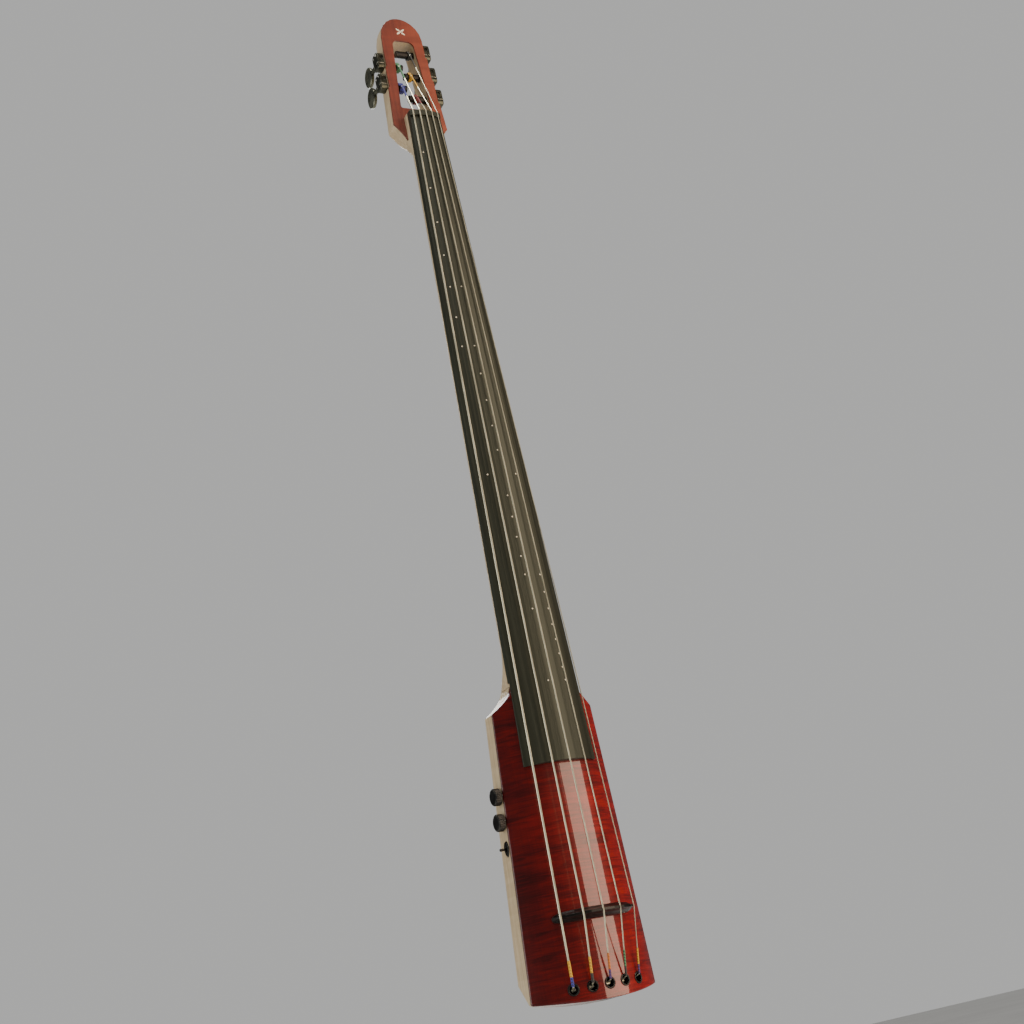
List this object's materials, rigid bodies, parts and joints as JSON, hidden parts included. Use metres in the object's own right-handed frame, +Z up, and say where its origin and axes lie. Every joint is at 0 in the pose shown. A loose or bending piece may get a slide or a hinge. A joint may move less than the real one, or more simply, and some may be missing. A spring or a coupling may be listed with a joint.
{
  "type": "electric upright bass",
  "caption": "Slim solid-body electric upright bass with a long bowed fretless fingerboard, an arched red maple cap, a slotted pegbox with worm-gear tuners and side controls.",
  "frame": {"origin": "middle of the stand plate's outer face on the back of the body", "axes": "+Z up the neck towards the pegbox, +Y out of the back towards the stand, +X towards the treble side; -Y faces the player's bow"},
  "size_m": [0.1621, 0.0919, 1.3308],
  "materials": {
    "maple": "satin clear coat over pale maple",
    "red_maple": "high gloss transparent red over flamed maple",
    "red_face": "satin red-brown stain",
    "ebony": "oiled, close grained",
    "black_metal": "satin black",
    "steel": "plain steel",
    "string_steel": "flat-wound steel tape",
    "black_plastic": "fine matt",
    "circuit_green": "solder-mask green",
    "piezo_brass": "bare disc"
  },
  "bodies": {
    "instrument": {"body_core": "maple", "neck": "maple", "pegbox": "maple", "body_cap": "red_maple", "headplate": "red_face", "fingerboard": "ebony", "nut": "ebony", "bridge": "ebony", "stand_plate": "black_metal", "output_jack": "black_metal", "toggle_switch": "black_metal", "tuner_housing_1": "black_metal", "tuner_housing_2": "black_metal", "tuner_housing_3": "black_metal", "tuner_housing_4": "black_metal", "tuner_housing_5": "black_metal", "string_anchor_1": "black_metal", "string_anchor_2": "black_metal", "string_anchor_3": "black_metal", "string_anchor_4": "black_metal", "string_anchor_5": "black_metal", "truss_rod": "steel", "bridge_post_bass": "steel", "bridge_post_treble": "steel", "potentiometer_1": "steel", "potentiometer_2": "steel", "stand_plate_screw_1": "steel", "stand_plate_screw_2": "steel", "stand_plate_screw_3": "steel", "stand_plate_screw_4": "steel", "string_1": "string_steel", "string_2": "string_steel", "string_3": "string_steel", "string_4": "string_steel", "string_5": "string_steel", "cavity_cover": "black_plastic", "battery": "black_plastic", "preamp_board": "circuit_green", "pickup_bass": "piezo_brass", "pickup_treble": "piezo_brass"},
    "key_1": {"tuner_key_1": "black_metal"},
    "post_1": {"string_post_1": "black_metal", "string_coil_1": "string_steel"},
    "key_2": {"tuner_key_2": "black_metal"},
    "post_2": {"string_post_2": "black_metal", "string_coil_2": "string_steel"},
    "key_3": {"tuner_key_3": "black_metal"},
    "post_3": {"string_post_3": "black_metal", "string_coil_3": "string_steel"},
    "key_4": {"tuner_key_4": "black_metal"},
    "post_4": {"string_post_4": "black_metal", "string_coil_4": "string_steel"},
    "key_5": {"tuner_key_5": "black_metal"},
    "post_5": {"string_post_5": "black_metal", "string_coil_5": "string_steel"},
    "control_1": {"knob_1": "black_metal", "pot_shaft_1": "steel"},
    "control_2": {"knob_2": "black_metal", "pot_shaft_2": "steel"},
    "switch_lever": {"toggle_lever": "black_metal"}
  },
  "joints": [
    {"name": "key_1_turn", "type": "hinge", "parent": "instrument", "child": "key_1", "pos_m": [-0.03829, -0.051, 0.9284], "axis": [0, 1, 0], "continuous": true},
    {"name": "post_1_turn", "type": "hinge", "parent": "instrument", "child": "post_1", "pos_m": [0, -0.051, 0.919], "axis": [1, 0, 0], "continuous": true},
    {"name": "key_2_turn", "type": "hinge", "parent": "instrument", "child": "key_2", "pos_m": [-0.03616, -0.051, 0.9634], "axis": [0, 1, 0], "continuous": true},
    {"name": "post_2_turn", "type": "hinge", "parent": "instrument", "child": "post_2", "pos_m": [0, -0.051, 0.954], "axis": [1, 0, 0], "continuous": true},
    {"name": "key_3_turn", "type": "hinge", "parent": "instrument", "child": "key_3", "pos_m": [0.03927, -0.051, 0.9124], "axis": [0, 1, 0], "continuous": true},
    {"name": "post_3_turn", "type": "hinge", "parent": "instrument", "child": "post_3", "pos_m": [0, -0.051, 0.903], "axis": [1, 0, 0], "continuous": true},
    {"name": "key_4_turn", "type": "hinge", "parent": "instrument", "child": "key_4", "pos_m": [0.03702, -0.051, 0.9494], "axis": [0, 1, 0], "continuous": true},
    {"name": "post_4_turn", "type": "hinge", "parent": "instrument", "child": "post_4", "pos_m": [0, -0.051, 0.94], "axis": [1, 0, 0], "continuous": true},
    {"name": "key_5_turn", "type": "hinge", "parent": "instrument", "child": "key_5", "pos_m": [0.03474, -0.051, 0.9869], "axis": [0, 1, 0], "continuous": true},
    {"name": "post_5_turn", "type": "hinge", "parent": "instrument", "child": "post_5", "pos_m": [0, -0.051, 0.9775], "axis": [1, 0, 0], "continuous": true},
    {"name": "control_1_turn", "type": "hinge", "parent": "instrument", "child": "control_1", "pos_m": [-0.073, -0.03644, -0.062], "axis": [1, 0, 0], "range_deg": [-150, 150]},
    {"name": "control_2_turn", "type": "hinge", "parent": "instrument", "child": "control_2", "pos_m": [-0.073, -0.03479, -0.091], "axis": [1, 0, 0], "range_deg": [-150, 150]},
    {"name": "switch_flick", "type": "hinge", "parent": "instrument", "child": "switch_lever", "pos_m": [-0.06965, -0.03309, -0.121], "axis": [0, 1, 0], "range_deg": [-12, 12]}
  ],
  "couplings": [
    {"joint": "post_1_turn", "follows": "key_1_turn", "ratio": 0.0625},
    {"joint": "post_2_turn", "follows": "key_2_turn", "ratio": 0.0625},
    {"joint": "post_3_turn", "follows": "key_3_turn", "ratio": 0.0625},
    {"joint": "post_4_turn", "follows": "key_4_turn", "ratio": 0.0625},
    {"joint": "post_5_turn", "follows": "key_5_turn", "ratio": 0.0625}
  ]
}
